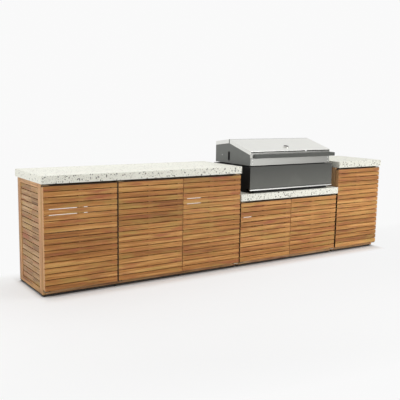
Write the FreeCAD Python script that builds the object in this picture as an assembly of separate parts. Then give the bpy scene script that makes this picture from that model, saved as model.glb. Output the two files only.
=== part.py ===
"""Outdoor kitchen unit: three slatted teak cabinets, stone worktops and a hooded gas barbecue.

Millimetres. +X runs to the right, +Y to the back and +Z up. The origin lies on the floor, below
the middle of the overall length and depth.
"""
import FreeCAD, Part
import collections
import math
import os

# Layout of the cabinets
bay_width = 600.0
left_bays = 3
middle_bays = 2
right_bays = 1
worktop_depth = 600.0
tall_height = 910.0
low_height = 660.0
left_overhang = 16.0
right_overhang = 8.0
rear_overhang = 10.0
tall_inset = 4.0
low_left_inset = 8.0
low_right_inset = 16.0
glide_height = 10.0
glide_radius = 12.0

# Worktops
stone_thickness = 60.0
stone_ease = 3.0
stone_joint = 4.0
hose_hole_radius = 25.0
hose_hole_from_end = 80.0
hose_hole_from_back = 165.0

# Cabinet timbers
timber_ease = 1.5
frame_thickness = 30.0
stile_width = 66.0
top_rail_height = 40.0
bottom_rail_height = 45.0
cross_rail_thickness = 25.0
cross_rail_height = 45.0
panel_slat_thickness = 18.0
panel_recess = 6.0
lining_sheet = 4.0
back_slat_thickness = 20.0
board_thickness = 18.0
shelf_height = 400.0
shelf_setback = 30.0
cleat_width = 20.0
cleat_height = 30.0
batten_width = 45.0

# Slats, laid with even gaps near the wanted one
slat_height = 38.0
slat_gap = 6.0
back_slat_height = 42.0
back_slat_gap = 2.0
tall_vent_rows = (10, 11)
low_vent_rows = (6,)

# Doors
door_setback = 9.0
door_bottom = 52.0
door_gap = 6.0
shadow_gap = 16.0
slat_thickness = 15.0
door_stile_thickness = 25.0
door_stile_width = 45.0
door_stile_inset = 6.0
door_running_gap = 8.0

# Door pivots and catches
pivot_inset = 14.0
pin_radius = 3.0
pin_clearance = 0.05
pin_engagement = 24.0
bush_wall = 2.0
bush_end_room = 2.0
bush_flange = 2.5
thrust_height = 6.0
top_play = 4.0
bracket_sheet = 3.0
bracket_width = 46.0
bracket_leg = 30.0
bracket_setback = 4.0
bracket_side_gap = 2.0
catch_length = 36.0
catch_height = 16.0
catch_from_edge = 4.5
catch_below_rail_top = 19.0
catch_gap = 0.5
strike_sheet = 1.5

# Bolts that hold the cabinets together
bolt_above_floor = 77.0
bolt_below_low_top = 100.0
bolt_radius = 4.0
bolt_play = 0.5
bolt_head_radius = 8.0
bolt_head_height = 6.0
spacer_radius = 12.0

# Barbecue body
grill_offset = 5.0
fascia_setback = 10.0
barbecue_side_room = 97.0
fascia_height = 197.0
flap_depth = 14.0
flap_sheet = 2.0
flap_pin_radius = 3.0
flap_pin_rise = 6.0
cheek_sheet = 2.0
cheek_gap = 0.6
cheek_setback = 3.0
body_sheet = 2.5
body_side_room = 25.0
body_back_room = 40.0
panel_behind_fascia = 42.0
firebox_behind_fascia = 85.0
base_rail_height = 24.0
base_rail_width = 20.0
base_rear_rail_width = 10.0
rim_thickness = 4.0
rim_below_fascia = 3.0
rim_overhang = 12.0
rim_bar_width = 25.0
rim_behind_fascia = 20.0
rim_rear_reach = 12.0
rim_rear_bar_width = 41.0
hood_rest_width = 25.0
hood_rest_depth = 12.5
ledge_sheet = 2.0
ledge_gap = 1.0

# Drip tray
lip_bottom_rise = 26.0
lip_height = 12.0
lip_stand_out = 2.0
lip_to_fascia = 5.0
tray_side_room = 28.0
tray_sheet = 2.0
tray_depth = 30.0
tray_flange = 5.0
tray_rear_gap = 3.0
runner_gap = 1.0
runner_height = 6.0

# Cooking plates, flame tamers and burners
plate_count = 3
plate_gap = 4.0
plate_thickness = 14.0
plate_below_rim = 8.0
plate_border = 12.0
hotplate_pocket = 4.0
grill_bar_width = 8.0
grill_slot_width = 12.0
ledge_bar_height = 3.0
ledge_bar_width = 20.0
tamer_drop = 53.0
tamer_gap = 60.0
tamer_rise = 40.0
tamer_sheet = 2.0
cooking_gap = 2.0
burner_count = 5
burner_side_room = 118.0
burner_radius = 15.0
burner_wall = 2.0
burner_play = 0.5
burner_cap = 3.0
burner_reach = 15.0
burner_rear_room = 72.5
burner_rest_from_end = 10.0
burner_rest_width = 15.0
burner_rest_height = 6.3
burner_rest_gap = 0.3

# Gas rail, valves and knobs
knob_below_rim = 103.0
knob_radius = 19.0
knob_length = 21.0
knob_gap = 3.0
knob_grip_width = 8.0
knob_grip_height = 2.0
stem_radius = 4.0
stem_clearance = 0.05
stem_hole_radius = 6.0
stem_in_valve = 13.0
stem_end_room = 3.0
valve_size = 22.0
valve_length = 25.0
nozzle_radius = 5.0
nozzle_length = 8.0
manifold_size = 18.0
manifold_setback = 3.0
inlet_pipe_radius = 7.0
inlet_thread_radius = 8.35
inlet_thread_length = 25.0
inlet_nut_radius = 12.0
inlet_nut_length = 8.0
inlet_elbow_size = 24.0
inlet_elbow_ease = 3.0
inlet_hole_play = 1.0

# Hood
hood_side_room = 3.5
hood_sheet = 2.5
hood_lift = 10.0
hood_front_setback = 36.0
hood_nose = 6.0
hood_nose_height = 374.0
hood_ridge_rise = 93.0
hood_ridge_from_front = 355.0
hood_rear_fall = 27.0
hood_back_room = 33.0
hood_flange = 36.0
hood_cap_gap = 12.0
hood_panel_drop = 6.0
hood_front_gap = 12.0
spit_slot_width = 22.0
spit_slot_low = 27.0
spit_slot_high = 104.0
spit_slot_from_ridge = 5.0

# Hood handle
handle_projection = 30.0
handle_depth = 30.0
handle_height = 33.0
handle_below_nose = 58.0
handle_ease = 4.0
handle_wall = 2.0
handle_plug_length = 10.0
handle_bracket_width = 16.0
handle_bracket_stand_out = 4.5
handle_bracket_lap = 2.0

# Hood gauge
gauge_from_front = 84.0
gauge_radius = 26.0
gauge_height = 10.0
gauge_bezel = 4.0
gauge_recess = 3.0
gauge_stem_radius = 5.0
gauge_stem_length = 60.0
gauge_stem_play = 0.5

# Hood hinges
hinge_end_room = 86.5
hinge_behind_hood = 10.0
hinge_rise = 15.0
hinge_pin_radius = 4.0
hinge_clearance = 0.05
hinge_barrel_radius = 7.0
hinge_barrel_length = 30.0
hinge_leaf_height = 40.0
hinge_leaf_sheet = 3.0
hinge_web_half = 4.0
hinge_ear_half = 8.0
hinge_ear_corner = 5.0
hinge_ear_sheet = 4.0
hinge_ear_gap = 0.5

# Places along X
length = bay_width * (left_bays + middle_bays + right_bays)
left_end = -length / 2
right_end = length / 2
left_joint = left_end + left_bays * bay_width
right_joint = left_joint + middle_bays * bay_width
grill_centre = (left_joint + right_joint) / 2 + grill_offset

# Places along Y
overall_depth = worktop_depth + handle_projection
worktop_back = overall_depth / 2
worktop_front = worktop_back - worktop_depth
door_front = worktop_front + door_setback
door_slat_back = door_front + slat_thickness
door_back = door_slat_back + door_stile_thickness
carcass_front = door_back + door_running_gap
carcass_back = worktop_back - rear_overhang
back_slat_front = carcass_back - back_slat_thickness
pivot_y = door_front + slat_thickness / 2

# Places up Z
carcass_bottom = glide_height
floor_bottom = carcass_bottom + bottom_rail_height
floor_top = floor_bottom + board_thickness

Cabinet = collections.namedtuple("Cabinet", "name x0 x1 top hinges vent_rows")
Door = collections.namedtuple("Door", "name x0 x1 top hinge edge pivot_x")
left_cabinet = Cabinet("left", left_end + left_overhang, left_joint - tall_inset,
                       tall_height - stone_thickness, (1, 1, -1), tall_vent_rows)
middle_cabinet = Cabinet("middle", left_joint + low_left_inset, right_joint - low_right_inset,
                         low_height - stone_thickness, (1, -1), low_vent_rows)
right_cabinet = Cabinet("right", right_joint + tall_inset, right_end - right_overhang,
                        tall_height - stone_thickness, (-1,), tall_vent_rows)
cabinets = (left_cabinet, middle_cabinet, right_cabinet)


def vector(x, y, z):
    return FreeCAD.Vector(x, y, z)


def box(x, y, z):
    """A plain block between pairs of limits."""
    return Part.makeBox(x[1] - x[0], y[1] - y[0], z[1] - z[0], vector(x[0], y[0], z[0]))


def board(x, y, z, along, ease=timber_ease):
    """A block whose four edges along one axis are eased."""
    spans = {"x": x, "y": y, "z": z}
    first, second = [axis for axis in "xyz" if axis != along]
    a0, a1 = spans[first]
    b0, b1 = spans[second]
    outline = [(a0 + ease, b0), (a1 - ease, b0), (a1, b0 + ease), (a1, b1 - ease),
               (a1 - ease, b1), (a0 + ease, b1), (a0, b1 - ease), (a0, b0 + ease)]
    start, end = spans[along]
    points = []
    for a, b in outline:
        place = {first: a, second: b, along: start}
        points.append(vector(place["x"], place["y"], place["z"]))
    travel = {"x": 0.0, "y": 0.0, "z": 0.0}
    travel[along] = end - start
    face = Part.Face(Part.makePolygon(points + points[:1]))
    return face.extrude(vector(travel["x"], travel["y"], travel["z"]))


def prism(outline, x):
    """A (y, z) outline drawn out along X between two limits."""
    points = [vector(x[0], y, z) for y, z in outline]
    return Part.Face(Part.makePolygon(points + points[:1])).extrude(vector(x[1] - x[0], 0, 0))


def rod(start, along, radius, rod_length):
    """A round bar from a start point along a direction."""
    return Part.makeCylinder(radius, rod_length, vector(*start), vector(*along))


def joined(shapes):
    """Shapes welded into one solid."""
    return shapes[0].fuse(shapes[1:]).removeSplitter()


def save(name, solids):
    Part.makeCompound(solids).exportStep(os.path.join("parts", name + ".step"))


def slat_rows(bottom, top, height=slat_height, wanted_gap=slat_gap):
    """The lowest and highest level of each slat between two levels, evenly spaced."""
    count = round((top - bottom + wanted_gap) / (height + wanted_gap))
    gap = (top - bottom - count * height) / (count - 1)
    levels = [bottom + row * (height + gap) for row in range(count)]
    return [(level, level + height) for level in levels]


def back_rows(cabinet):
    """The back slats lie closer together than the others, over the same height as the doors."""
    return slat_rows(door_bottom, door_top(cabinet), back_slat_height, back_slat_gap)


def door_top(cabinet):
    return cabinet.top - shadow_gap


def cabinet_doors(cabinet, first_number):
    """The doors of one cabinet, with hinge +1 at a door's left edge and -1 at its right edge."""
    count = len(cabinet.hinges)
    width = (cabinet.x1 - cabinet.x0 - (count - 1) * door_gap) / count
    doors = []
    for place, hinge in enumerate(cabinet.hinges):
        x0 = cabinet.x0 + place * (width + door_gap)
        edge = x0 if hinge > 0 else x0 + width
        name = "door_%d" % (first_number + place)
        doors.append(Door(name, x0, x0 + width, door_top(cabinet), hinge, edge, edge + hinge * pivot_inset))
    return doors


all_doors = []
for row_cabinet in cabinets:
    all_doors += cabinet_doors(row_cabinet, len(all_doors) + 1)


def inner_span(cabinet):
    """The free width between a cabinet's two side frames."""
    return cabinet.x0 + frame_thickness, cabinet.x1 - frame_thickness


def divider_centres():
    """Dividers of the left cabinet stand behind the gaps between its doors."""
    doors = cabinet_doors(left_cabinet, 1)
    return [(doors[n].x1 + doors[n + 1].x0) / 2 for n in range(len(doors) - 1)]


def bays(cabinet):
    """The clear widths that a cabinet's dividers leave."""
    x0, x1 = inner_span(cabinet)
    if cabinet is not left_cabinet:
        return [(x0, x1)]
    starts = [x0] + [x + board_thickness / 2 for x in divider_centres()]
    ends = [x - board_thickness / 2 for x in divider_centres()] + [x1]
    return list(zip(starts, ends))


# Worktops

def worktop(x0, x1, height):
    slab = box((x0, x1), (worktop_front, worktop_back), (height - stone_thickness, height))
    top_edges = [edge for edge in slab.Edges if min(v.Z for v in edge.Vertexes) > height - stone_ease]
    return slab.makeChamfer(stone_ease, top_edges)


def build_worktops():
    save("worktop_left", [worktop(left_end, left_joint, tall_height)])
    save("worktop_right", [worktop(right_joint, right_end, tall_height)])
    middle = worktop(left_joint + stone_joint, right_joint - stone_joint, low_height)
    hole = rod((right_joint - hose_hole_from_end, worktop_back - hose_hole_from_back,
                low_height - stone_thickness), (0, 0, 1), hose_hole_radius, stone_thickness)
    save("worktop_middle", [middle.cut(hole)])


# Cabinet frames

def stile_spans():
    """The depths of the front and the rear stile."""
    return ((carcass_front, carcass_front + stile_width), (carcass_back - stile_width, carcass_back))


def bolt_levels():
    """Connecting bolts pass over the floor and under the top rails of the low cabinet."""
    return floor_top + bolt_above_floor, middle_cabinet.top - bolt_below_low_top


def bolt_holes(x):
    """Holes for the connecting bolts through both stiles of one side frame."""
    holes = []
    for span in stile_spans():
        for height in bolt_levels():
            start = (x[0], sum(span) / 2, height)
            holes.append(rod(start, (1, 0, 0), bolt_radius + bolt_play, x[1] - x[0]))
    return holes


def side_frame(x, top, bolted):
    """Two stiles and two rails of one end of a cabinet."""
    between = (carcass_front + stile_width, carcass_back - stile_width)
    stiles = [board(x, span, (carcass_bottom, top), "z") for span in stile_spans()]
    if bolted:
        stiles = [stile.cut(bolt_holes(x)) for stile in stiles]
    top_rail = board(x, between, (top - top_rail_height, top), "y")
    bottom_rail = board(x, between, (carcass_bottom, carcass_bottom + bottom_rail_height), "y")
    return stiles + [top_rail, bottom_rail]


def cross_rails(cabinet):
    """Front and rear rails, low and high, between the side frames."""
    x = inner_span(cabinet)
    front = (carcass_front, carcass_front + cross_rail_thickness)
    rear = (back_slat_front - cross_rail_thickness, back_slat_front)
    low = (carcass_bottom, floor_bottom)
    high = (cabinet.top - cross_rail_height, cabinet.top)
    return [board(x, y, z, "x") for y in (front, rear) for z in (low, high)]


def side_spans(cabinet):
    return ((cabinet.x0, cabinet.x0 + frame_thickness), (cabinet.x1 - frame_thickness, cabinet.x1))


def back_batten():
    """One upright behind the open middle cabinet, between its floor and its high rear rail."""
    middle = (middle_cabinet.x0 + middle_cabinet.x1) / 2
    x = (middle - batten_width / 2, middle + batten_width / 2)
    z = (floor_top, middle_cabinet.top - cross_rail_height)
    return board(x, (back_slat_front - cross_rail_thickness, back_slat_front), z, "z")


def build_frames():
    bolted_sides = {"left": (False, True), "middle": (True, True), "right": (True, False)}
    for cabinet in cabinets:
        timbers = cross_rails(cabinet)
        for x, bolted in zip(side_spans(cabinet), bolted_sides[cabinet.name]):
            timbers += side_frame(x, cabinet.top, bolted)
        if cabinet is middle_cabinet:
            timbers.append(back_batten())
        save(cabinet.name + "_cabinet_frame", timbers)


def side_slats(x, top, side):
    """Slats between the stiles of a left side (-1) or right side (+1), clear of the rails by an even gap."""
    y = (carcass_front + stile_width, carcass_back - stile_width)
    bottom = carcass_bottom + bottom_rail_height + slat_gap
    rows = slat_rows(bottom, top - top_rail_height - slat_gap)
    outer_face = (x[0] if side < 0 else x[1]) - side * panel_recess
    depth = tuple(sorted((outer_face, outer_face - side * panel_slat_thickness)))
    return [board(depth, y, row, "y") for row in rows]


def side_lining(x, top, side):
    """A thin sheet on the inner face of the slats of a left side (-1) or right side (+1)."""
    y = (carcass_front + stile_width, carcass_back - stile_width)
    z = (carcass_bottom + bottom_rail_height, top - top_rail_height)
    inner_face = (x[0] if side < 0 else x[1]) - side * (panel_recess + panel_slat_thickness)
    depth = tuple(sorted((inner_face, inner_face - side * lining_sheet)))
    return box(depth, y, z)


def build_side_slats():
    for cabinet in (left_cabinet, right_cabinet):
        pieces = []
        for side, x in zip((-1, 1), side_spans(cabinet)):
            pieces += side_slats(x, cabinet.top, side)
            pieces.append(side_lining(x, cabinet.top, side))
        save(cabinet.name + "_cabinet_side_slats", pieces)


def build_dividers():
    z = (floor_top, left_cabinet.top - cross_rail_height)
    half = board_thickness / 2
    dividers = [box((x - half, x + half), (carcass_front, back_slat_front), z) for x in divider_centres()]
    save("left_cabinet_dividers", dividers)


def build_floors():
    y = (carcass_front, back_slat_front)
    save("cabinet_floors", [box(inner_span(cabinet), y, (floor_bottom, floor_top)) for cabinet in cabinets])


def build_shelves():
    """A shelf in every tall bay, lying on a cleat at each end."""
    pieces = []
    y = (carcass_front + shelf_setback, back_slat_front)
    for cabinet in (left_cabinet, right_cabinet):
        for x0, x1 in bays(cabinet):
            pieces.append(box((x0, x1), y, (shelf_height, shelf_height + board_thickness)))
            for x in ((x0, x0 + cleat_width), (x1 - cleat_width, x1)):
                pieces.append(board(x, y, (shelf_height - cleat_height, shelf_height), "y"))
    save("cabinet_shelves", pieces)


def vented_span(cabinet):
    """Where a row of back slats with a vent is still closed."""
    x0, x1 = inner_span(cabinet)
    if cabinet is left_cabinet:
        return divider_centres()[0], divider_centres()[-1]
    if cabinet is middle_cabinet:
        return (x0 + x1) / 2, x1
    return None


def build_back_slats():
    slats = []
    y = (back_slat_front, carcass_back)
    for cabinet in cabinets:
        for number, row in enumerate(back_rows(cabinet)):
            span = inner_span(cabinet)
            if number in cabinet.vent_rows:
                span = vented_span(cabinet)
            if span:
                slats.append(board(span, y, row, "x"))
    save("cabinet_back_slats", slats)


def build_glides():
    """Round feet under every stile, and under the rails at the dividers."""
    places = []
    for cabinet in cabinets:
        for x in side_spans(cabinet):
            places += [(sum(x) / 2, sum(span) / 2) for span in stile_spans()]
    for x in divider_centres():
        places.append((x, carcass_front + cross_rail_thickness / 2))
        places.append((x, back_slat_front - cross_rail_thickness / 2))
    save("floor_glides", [rod((x, y, 0), (0, 0, 1), glide_radius, glide_height) for x, y in places])


def build_connectors():
    """Bolts, nuts and spacers that hold neighbouring cabinets side by side."""
    pieces = []
    for one, other in ((left_cabinet, middle_cabinet), (middle_cabinet, right_cabinet)):
        inside_one = one.x1 - frame_thickness
        inside_other = other.x0 + frame_thickness
        for span in stile_spans():
            for height in bolt_levels():
                y = sum(span) / 2
                head = rod((inside_one - bolt_head_height, y, height), (1, 0, 0),
                           bolt_head_radius, bolt_head_height)
                shank = rod((inside_one, y, height), (1, 0, 0), bolt_radius, inside_other - inside_one)
                nut = rod((inside_other, y, height), (1, 0, 0), bolt_head_radius, bolt_head_height)
                gap = other.x0 - one.x1
                ring = rod((one.x1, y, height), (1, 0, 0), spacer_radius, gap)
                hole = rod((one.x1, y, height), (1, 0, 0), bolt_radius + bolt_play, gap)
                pieces += [joined([head, shank]), nut, ring.cut(hole)]
    save("connector_bolts", pieces)


# Doors and what they turn on

bush_radius = pin_radius + pin_clearance + bush_wall
bush_length = pin_engagement + bush_end_room
plate_top = door_bottom - thrust_height


def mirrored_span(edge, hinge, near, far):
    """Limits along X measured from a door's hinge edge into the door."""
    return tuple(sorted((edge + hinge * near, edge + hinge * far)))


def pivot_bracket(door, inside, turn):
    """A bent plate with its leg behind the door and its foot under the door (+1) or over it (-1)."""
    front = door_front + bracket_setback
    leg_front = carcass_front - bracket_sheet
    outside = inside - turn * bracket_sheet
    leg_end = outside + turn * bracket_leg
    outline = [(front, inside), (leg_front, inside), (leg_front, leg_end),
               (carcass_front, leg_end), (carcass_front, outside), (front, outside)]
    return prism(outline, mirrored_span(door.edge, door.hinge, bracket_side_gap,
                                        bracket_side_gap + bracket_width))


def build_pivot_brackets():
    pieces = []
    for door in all_doors:
        top_plate_bottom = door.top + top_play
        pieces.append(pivot_bracket(door, plate_top, 1))
        pieces.append(rod((door.pivot_x, pivot_y, plate_top), (0, 0, 1), pin_radius,
                          thrust_height + pin_engagement))
        pieces.append(pivot_bracket(door, top_plate_bottom, -1))
        pieces.append(rod((door.pivot_x, pivot_y, top_plate_bottom), (0, 0, -1), pin_radius,
                          top_play + pin_engagement))
    save("door_pivot_brackets", pieces)


def catch_span(door):
    free_edge = door.x1 if door.hinge > 0 else door.x0
    return mirrored_span(free_edge, -door.hinge, catch_from_edge, catch_from_edge + catch_length)


def catch_levels(door):
    high = door.top + shadow_gap - catch_below_rail_top
    return high - catch_height, high


def build_catches():
    y = (door_back + strike_sheet + catch_gap, carcass_front)
    save("door_catches", [box(catch_span(door), y, catch_levels(door)) for door in all_doors])


def bush_seat(door, level):
    return rod((door.pivot_x, pivot_y, level), (0, 0, 1), bush_radius + pin_clearance, bush_length)


def door_slats(door):
    rows = slat_rows(door_bottom, door.top)
    slats = [board((door.x0, door.x1), (door_front, door_slat_back), row, "x") for row in rows]
    slats[0] = slats[0].cut(bush_seat(door, door_bottom))
    slats[-1] = slats[-1].cut(bush_seat(door, door.top - bush_length))
    return slats


def door_stiles(door):
    middle = (door.x0 + door.x1 - door_stile_width) / 2
    starts = (door.x0, middle, door.x1 - door_stile_width)
    y = (door_slat_back, door_back)
    z = (door_bottom + door_stile_inset, door.top - door_stile_inset)
    return [board((x, x + door_stile_width), y, z, "z") for x in starts]


def door_fittings(door):
    """The bottom bush with its thrust flange, the top bush and the catch plate."""
    bore = rod((door.pivot_x, pivot_y, plate_top), (0, 0, 1), pin_radius + pin_clearance,
               door.top - plate_top)
    low = rod((door.pivot_x, pivot_y, door_bottom), (0, 0, 1), bush_radius, bush_length)
    flange = rod((door.pivot_x, pivot_y, plate_top), (0, 0, 1), bush_radius + bush_flange, thrust_height)
    high = rod((door.pivot_x, pivot_y, door.top - bush_length), (0, 0, 1), bush_radius, bush_length)
    strike = box(catch_span(door), (door_back, door_back + strike_sheet), catch_levels(door))
    return [joined([low, flange]).cut(bore), high.cut(bore), strike]


def build_doors():
    for door in all_doors:
        save(door.name + "_slats", door_slats(door))
        save(door.name + "_stiles", door_stiles(door))
        save(door.name + "_fittings", door_fittings(door))


# Barbecue body

fascia_front = worktop_front + fascia_setback
flap_back = fascia_front + flap_depth
panel_front = fascia_front + panel_behind_fascia
panel_back = panel_front + body_sheet
firebox_front = fascia_front + firebox_behind_fascia
firebox_inner_front = firebox_front + body_sheet
firebox_back = worktop_back - body_back_room
firebox_inner_back = firebox_back - body_sheet
fascia_width = middle_bays * bay_width - 2 * barbecue_side_room
body_width = fascia_width - 2 * body_side_room
rim_width = body_width + 2 * rim_overhang
tray_width = body_width - 2 * tray_side_room
body_half = body_width / 2
body_inner_half = body_half - body_sheet
fascia_half = fascia_width / 2
cheek_inner_half = fascia_half + cheek_gap
lip_bottom = low_height + lip_bottom_rise
lip_top = lip_bottom + lip_height
fascia_bottom = lip_top + lip_to_fascia
fascia_top = fascia_bottom + fascia_height
base_top = low_height + base_rail_height
rim_bottom = fascia_top - rim_below_fascia - rim_thickness
rim_top = rim_bottom + rim_thickness
knob_z = rim_bottom - knob_below_rim
burner_pitch = (body_width - 2 * burner_side_room) / (burner_count - 1)
tamer_width = burner_pitch - tamer_gap
burner_xs = [grill_centre + (n - (burner_count - 1) / 2) * burner_pitch for n in range(burner_count)]


def across(half):
    """Limits along X, the same distance each side of the barbecue's middle."""
    return grill_centre - half, grill_centre + half


def at_side(side, near, far):
    """Limits along X on one side of the barbecue's middle: -1 left, +1 right."""
    return tuple(sorted((grill_centre + side * near, grill_centre + side * far)))


def build_base():
    z = (low_height, base_top)
    rails = [box(at_side(side, body_half - base_rail_width, body_half), (firebox_front, firebox_back), z)
             for side in (-1, 1)]
    rear = box(across(body_half - base_rail_width), (firebox_back - base_rear_rail_width, firebox_back), z)
    save("barbecue_base_rails", rails + [rear])


def build_firebox():
    """Four welded sheets; the front one carries the burner throats."""
    sides = [box(at_side(side, body_inner_half, body_half), (firebox_inner_front, firebox_back),
                 (base_top, rim_bottom)) for side in (-1, 1)]
    rear = box(across(body_inner_half), (firebox_inner_back, firebox_back), (base_top, rim_bottom))
    front = box(across(cheek_inner_half), (firebox_front, firebox_inner_front),
                (fascia_bottom, rim_bottom - ledge_sheet))
    throats = [rod((x, firebox_front, knob_z), (0, 1, 0), burner_radius + burner_play, body_sheet)
               for x in burner_xs]
    save("barbecue_firebox", sides + [rear, front.cut(throats)])


def flap_axis():
    return fascia_front + flap_depth / 2, fascia_bottom + flap_pin_rise


def build_control_box():
    """Panel behind the knobs, the ledge over it and a cheek at each end."""
    z = (fascia_bottom, rim_bottom - ledge_sheet)
    panel = box(across(cheek_inner_half), (panel_front, panel_back), z)
    stems = [rod((x, panel_front, knob_z), (0, 1, 0), stem_hole_radius, body_sheet) for x in burner_xs]
    ledge = box(across(cheek_inner_half), (flap_back + ledge_gap, firebox_inner_front),
                (rim_bottom - ledge_sheet, rim_bottom))
    axis_y, axis_z = flap_axis()
    cheeks = []
    for side in (-1, 1):
        x = at_side(side, cheek_inner_half, cheek_inner_half + cheek_sheet)
        cheek = box(x, (fascia_front + cheek_setback, firebox_inner_front), (fascia_bottom, rim_bottom))
        pin_hole = rod((x[0], axis_y, axis_z), (1, 0, 0), flap_pin_radius + pin_clearance, cheek_sheet)
        pipe_hole = rod((x[0], manifold_y, manifold_z), (1, 0, 0), inlet_pipe_radius + inlet_hole_play,
                        cheek_sheet)
        cheek = cheek.cut(pin_hole)
        if side > 0:
            cheek = cheek.cut(pipe_hole)
        cheeks.append(cheek)
    save("barbecue_control_box", [panel.cut(stems), ledge] + cheeks)


def build_rim():
    """A flat frame round the top of the firebox, with two rests for the hood."""
    z = (rim_bottom, rim_top)
    front_y = fascia_front + rim_behind_fascia
    front = box(across(rim_width / 2), (front_y, front_y + rim_bar_width), z)
    rear_end = worktop_back - rim_rear_reach
    rear_start = rear_end - rim_rear_bar_width
    rear = box(across(rim_width / 2), (rear_start, rear_end), z)
    side_y = (front_y + rim_bar_width, rear_start)
    sides = [box(at_side(side, rim_width / 2 - rim_bar_width, rim_width / 2), side_y, z) for side in (-1, 1)]
    rests = [box(at_side(side, hinge_from_centre, hinge_from_centre + hood_rest_width),
                 (hood_front, hood_front + hood_rest_depth), (rim_top, hood_bottom)) for side in (-1, 1)]
    save("barbecue_rim", [front, rear] + sides + rests)


# Inside the barbecue

plate_top_level = rim_bottom - plate_below_rim
plate_bottom = plate_top_level - plate_thickness
tamer_bottom = plate_bottom - tamer_drop
cooking_depth = (firebox_inner_front + cooking_gap, firebox_inner_back - cooking_gap)
burner_start = firebox_front - burner_reach
burner_length = firebox_inner_back - burner_rear_room - burner_start
tray_flange_bottom = lip_top - tray_sheet - tray_sheet
runner_inner_half = tray_width / 2 + runner_gap


def build_support_bars():
    """Ledges for plates and tamers, the burner rest and the runners of the drip tray."""
    x = across(body_inner_half)
    depths = ((firebox_inner_front, firebox_inner_front + ledge_bar_width),
              (firebox_inner_back - ledge_bar_width, firebox_inner_back))
    bars = [box(x, y, (top - ledge_bar_height, top)) for top in (plate_bottom, tamer_bottom) for y in depths]
    rest_end = burner_start + burner_length - burner_rest_from_end
    rest_top = knob_z - burner_radius - burner_rest_gap
    bars.append(box(x, (rest_end - burner_rest_width, rest_end), (rest_top - burner_rest_height, rest_top)))
    runner_z = (tray_flange_bottom - runner_height, tray_flange_bottom)
    for side in (-1, 1):
        runner_x = at_side(side, runner_inner_half, body_inner_half)
        bars.append(box(runner_x, (firebox_inner_front, firebox_inner_back), runner_z))
    save("barbecue_support_bars", bars)


def build_burners():
    burners = []
    for x in burner_xs:
        tube = rod((x, burner_start, knob_z), (0, 1, 0), burner_radius, burner_length)
        bore = rod((x, burner_start, knob_z), (0, 1, 0), burner_radius - burner_wall,
                   burner_length - burner_cap)
        burners.append(tube.cut(bore))
    save("barbecue_burners", burners)


def build_tamers():
    """Roof-shaped sheets over the burners."""
    tamers = []
    half = tamer_width / 2
    slope_drop = tamer_sheet * math.hypot(half, tamer_rise) / half
    run_drop = slope_drop * half / tamer_rise
    for x in burner_xs:
        outline = [(x - half, tamer_bottom), (x, tamer_bottom + tamer_rise), (x + half, tamer_bottom),
                   (x + half - run_drop, tamer_bottom), (x, tamer_bottom + tamer_rise - slope_drop),
                   (x - half + run_drop, tamer_bottom)]
        points = [vector(a, cooking_depth[0], b) for a, b in outline]
        face = Part.Face(Part.makePolygon(points + points[:1]))
        tamers.append(face.extrude(vector(0, cooking_depth[1] - cooking_depth[0], 0)))
    save("barbecue_flame_tamers", tamers)


def plate_spans():
    """Limits along X of each cooking plate, side by side."""
    x0, x1 = across(body_inner_half - cooking_gap)
    width = (x1 - x0 - (plate_count - 1) * plate_gap) / plate_count
    return [(x0 + n * (width + plate_gap), x0 + n * (width + plate_gap) + width) for n in range(plate_count)]


def hotplate(x):
    slab = box(x, cooking_depth, (plate_bottom, plate_top_level))
    inside_x = (x[0] + plate_border, x[1] - plate_border)
    inside_y = (cooking_depth[0] + plate_border, cooking_depth[1] - plate_border)
    return slab.cut(box(inside_x, inside_y, (plate_top_level - hotplate_pocket, plate_top_level)))


def grill_plate(x):
    """Bars from front to back, cut out of one plate."""
    slab = box(x, cooking_depth, (plate_bottom, plate_top_level))
    pitch = grill_bar_width + grill_slot_width
    count = int((x[1] - x[0] - 2 * plate_border + grill_bar_width) / pitch)
    start = (x[0] + x[1] - count * pitch + grill_bar_width) / 2
    inside_y = (cooking_depth[0] + plate_border, cooking_depth[1] - plate_border)
    slots = [box((start + n * pitch, start + n * pitch + grill_slot_width), inside_y,
                 (plate_bottom, plate_top_level)) for n in range(count)]
    return slab.cut(slots)


def build_cooking_plates():
    spans = plate_spans()
    save("barbecue_cooking_plates", [hotplate(spans[0])] + [grill_plate(x) for x in spans[1:]])


# Gas rail

manifold_top = knob_z - valve_size / 2
manifold_y = panel_back + manifold_setback + manifold_size / 2
manifold_z = manifold_top - manifold_size / 2


def build_manifold():
    rail = box(across(body_half), (manifold_y - manifold_size / 2, manifold_y + manifold_size / 2),
               (manifold_top - manifold_size, manifold_top))
    valves = []
    half = valve_size / 2
    for x in burner_xs:
        body = box((x - half, x + half), (panel_back, panel_back + valve_length),
                   (knob_z - half, knob_z + half))
        nozzle = rod((x, panel_back + valve_length, knob_z), (0, 1, 0), nozzle_radius, nozzle_length)
        bore = rod((x, panel_back, knob_z), (0, 1, 0), stem_radius + stem_clearance,
                   stem_in_valve + stem_end_room)
        valves.append(joined([body, nozzle]).cut(bore))
    save("barbecue_gas_manifold", [rail] + valves)


def inlet_elbow_x():
    """The middle of the elbow outside the right cheek."""
    cheek_outside = grill_centre + cheek_inner_half + cheek_sheet
    return cheek_outside + inlet_nut_length + inlet_elbow_size / 2


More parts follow.
